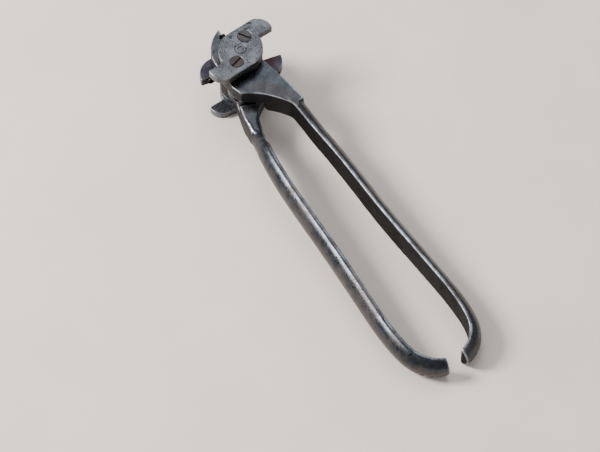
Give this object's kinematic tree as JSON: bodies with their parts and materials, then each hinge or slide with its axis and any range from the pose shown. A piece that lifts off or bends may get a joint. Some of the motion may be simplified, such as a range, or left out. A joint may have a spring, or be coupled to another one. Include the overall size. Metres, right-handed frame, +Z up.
{
  "type": "rotary hole punch",
  "caption": "Pliers-type rotary hole punch: two forged levers with a four-arm punch star between S-shaped cap plates and a drop-down anvil.",
  "frame": {"origin": "on the pivot axis, in the plane of the lower cap plate's outer face, on which the head rests", "axes": "+X towards the right handle, +Y towards the nose of the jaws, +Z up along the pivot axis"},
  "size_m": [0.0436, 0.2106, 0.0336],
  "materials": {
    "forged_steel": "dark oil-blackened forged steel, worn bright on the high edges",
    "plate_steel": "grey pitted steel with a dull satin face",
    "star_steel": "dark hardened steel with a trace of rust",
    "screw_steel": "dark steel with dirt in the slots",
    "bright_steel": "ground steel, dulled",
    "bronze": "dull bearing bronze",
    "brass": "brass, tarnished nearly black"
  },
  "bodies": {
    "left_lever": {"left_lever": "forged_steel", "lower_bush": "bronze", "detent_spring": "bright_steel", "detent_plug": "screw_steel"},
    "right_lever": {"right_lever": "forged_steel", "upper_bush": "bronze", "anvil_grub_screw": "screw_steel"},
    "turret": {"spindle": "plate_steel", "star_key": "star_steel", "bottom_flange": "plate_steel", "top_thrust_washer": "bright_steel", "bottom_thrust_washer": "bright_steel", "centre_rivet": "plate_steel", "punch_star": "star_steel", "top_cap_plate": "plate_steel", "bottom_cap_plate": "plate_steel", "top_cap_screws": "screw_steel", "bottom_cap_screws": "screw_steel", "punch_tube_1_5mm": "bright_steel", "punch_tube_2mm": "bright_steel", "punch_tube_2_5mm": "bright_steel", "punch_tube_3mm": "bright_steel"},
    "anvil": {"anvil_pad": "brass"},
    "detent": {"detent_ball": "bright_steel"}
  },
  "joints": [
    {"name": "handle_pivot", "type": "hinge", "parent": "left_lever", "child": "right_lever", "pos_m": [0, 0, 0.0168], "axis": [0, 0, 1], "range_deg": [-2, 18]},
    {"name": "turret_turn", "type": "hinge", "parent": "left_lever", "child": "turret", "pos_m": [0, 0, 0.0168], "axis": [0, 0, 1], "continuous": true},
    {"name": "anvil_drop", "type": "slide", "parent": "right_lever", "child": "anvil", "axis": [0, 0, -1], "range_m": [0, 0.0054]},
    {"name": "detent_lift", "type": "slide", "parent": "left_lever", "child": "detent", "axis": [0, 0, 1], "range_m": [0, 0.0003]}
  ]
}
